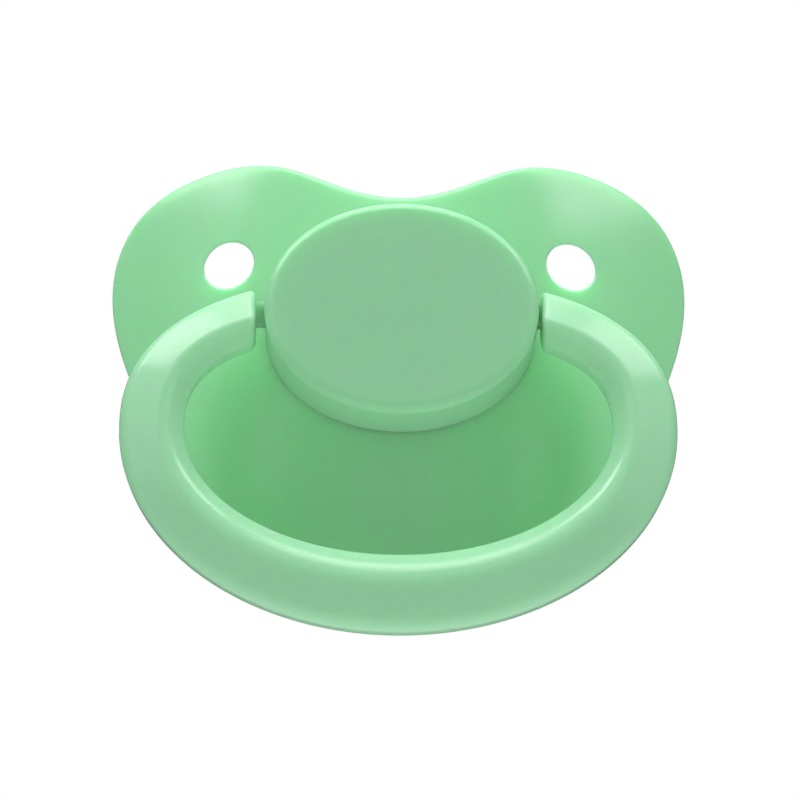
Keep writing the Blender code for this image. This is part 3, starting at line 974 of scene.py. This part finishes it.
# %% World: white behind the object, softer as a light
WORLD_LIGHT = 0.18
WORLD_GLOSS = 0.05
world = bpy.data.worlds.new("studio")
bpy.context.scene.world = world
world.use_nodes = True
world_tree = world.node_tree
background = world_tree.nodes["Background"]
background.inputs["Color"].default_value = (1.0, 1.0, 1.0, 1.0)
path = world_tree.nodes.new("ShaderNodeLightPath")
gloss_level = world_tree.nodes.new("ShaderNodeMapRange")
gloss_level.inputs["To Min"].default_value = WORLD_LIGHT
gloss_level.inputs["To Max"].default_value = WORLD_GLOSS
world_tree.links.new(path.outputs["Is Glossy Ray"], gloss_level.inputs["Value"])
level = world_tree.nodes.new("ShaderNodeMapRange")
level.inputs["To Max"].default_value = 1.0
world_tree.links.new(path.outputs["Is Camera Ray"], level.inputs["Value"])
world_tree.links.new(gloss_level.outputs["Result"], level.inputs["To Min"])
world_tree.links.new(level.outputs["Result"], background.inputs["Strength"])
bpy.context.scene.view_settings.view_transform = "Standard"
print("world light:", WORLD_LIGHT, "and in reflections:", WORLD_GLOSS)

# %% Soft lights
LIGHT_DISTANCE = 0.90
MIDDLE = Vector((0.0, 0.0, -0.01))
LIGHTS = (  # name, elevation, azimuth from the front, size in metres, power in watts, mirrored in gloss
    ("overhead_light", 84, 0, 0.60, 2.4, True),
    ("key_light", 60, 0, 0.42, 1.7, True),
    ("left_light", 52, -66, 0.42, 3.1, True),
    ("right_light", 48, 66, 0.42, 2.2, True),
    ("rear_light", 60, 180, 0.45, 9.0, False),
    ("front_left_fill", 15, -45, 0.60, 0.8, True),
    ("front_right_fill", 10, 50, 0.60, 0.8, True),
)


def way_to(elevation, azimuth):
    """A unit step from the object; both angles in degrees, azimuth from the front."""
    tilt = math.radians(elevation)
    turn = math.radians(azimuth)
    return Vector((math.sin(turn) * math.cos(tilt), -math.cos(turn) * math.cos(tilt), math.sin(tilt)))


def soft_light(name, elevation, azimuth, size, watts, mirrored):
    way = way_to(elevation, azimuth)
    light = bpy.data.lights.new(name, "AREA")
    light.shape = "SQUARE"
    light.size = size
    light.energy = watts
    lamp = bpy.data.objects.new(name, light)
    lamp.location = MIDDLE + way * LIGHT_DISTANCE
    lamp.rotation_mode = "QUATERNION"
    lamp.rotation_quaternion = (-way).to_track_quat("-Z", "Y")
    lamp.visible_camera = False
    lamp.visible_glossy = mirrored
    bpy.context.scene.collection.objects.link(lamp)


for row in LIGHTS:
    soft_light(*row)
print("lights:", len(LIGHTS))

# %% Camera
CAMERA_AZIMUTH = -1.0
CAMERA_ELEVATION = -18.0
CAMERA_DISTANCE = 0.50
SENSOR = 36.0
VIEW_WIDTH = 0.1019
AIM_LEFT = 0.00017
AIM_UP = 0.01078

away = way_to(CAMERA_ELEVATION, CAMERA_AZIMUTH)
turned = (-away).to_track_quat("-Z", "Y")
right = turned @ Vector((1, 0, 0))
up = turned @ Vector((0, 1, 0))
target = Vector((0, HINGE_Y, 0)) - right * AIM_LEFT - up * AIM_UP
camera_data = bpy.data.cameras.new("camera")
camera_data.sensor_width = SENSOR
camera_data.lens = SENSOR * CAMERA_DISTANCE / VIEW_WIDTH
camera = bpy.data.objects.new("camera", camera_data)
camera.rotation_mode = "QUATERNION"
camera.rotation_quaternion = turned
camera.location = target + away * CAMERA_DISTANCE
camera_data.clip_start = 0.01
camera_data.clip_end = 20.0
bpy.context.scene.collection.objects.link(camera)
bpy.context.scene.camera = camera
print("lens in mm:", round(camera_data.lens, 1))

# %% [markdown]
# ## Bring the scene up to date
# The view layer is updated once more, after every piece, light and the camera are in place. The
# finished model has to stay in the CAD model's box.

# %% Update the view layer
bpy.context.view_layer.update()
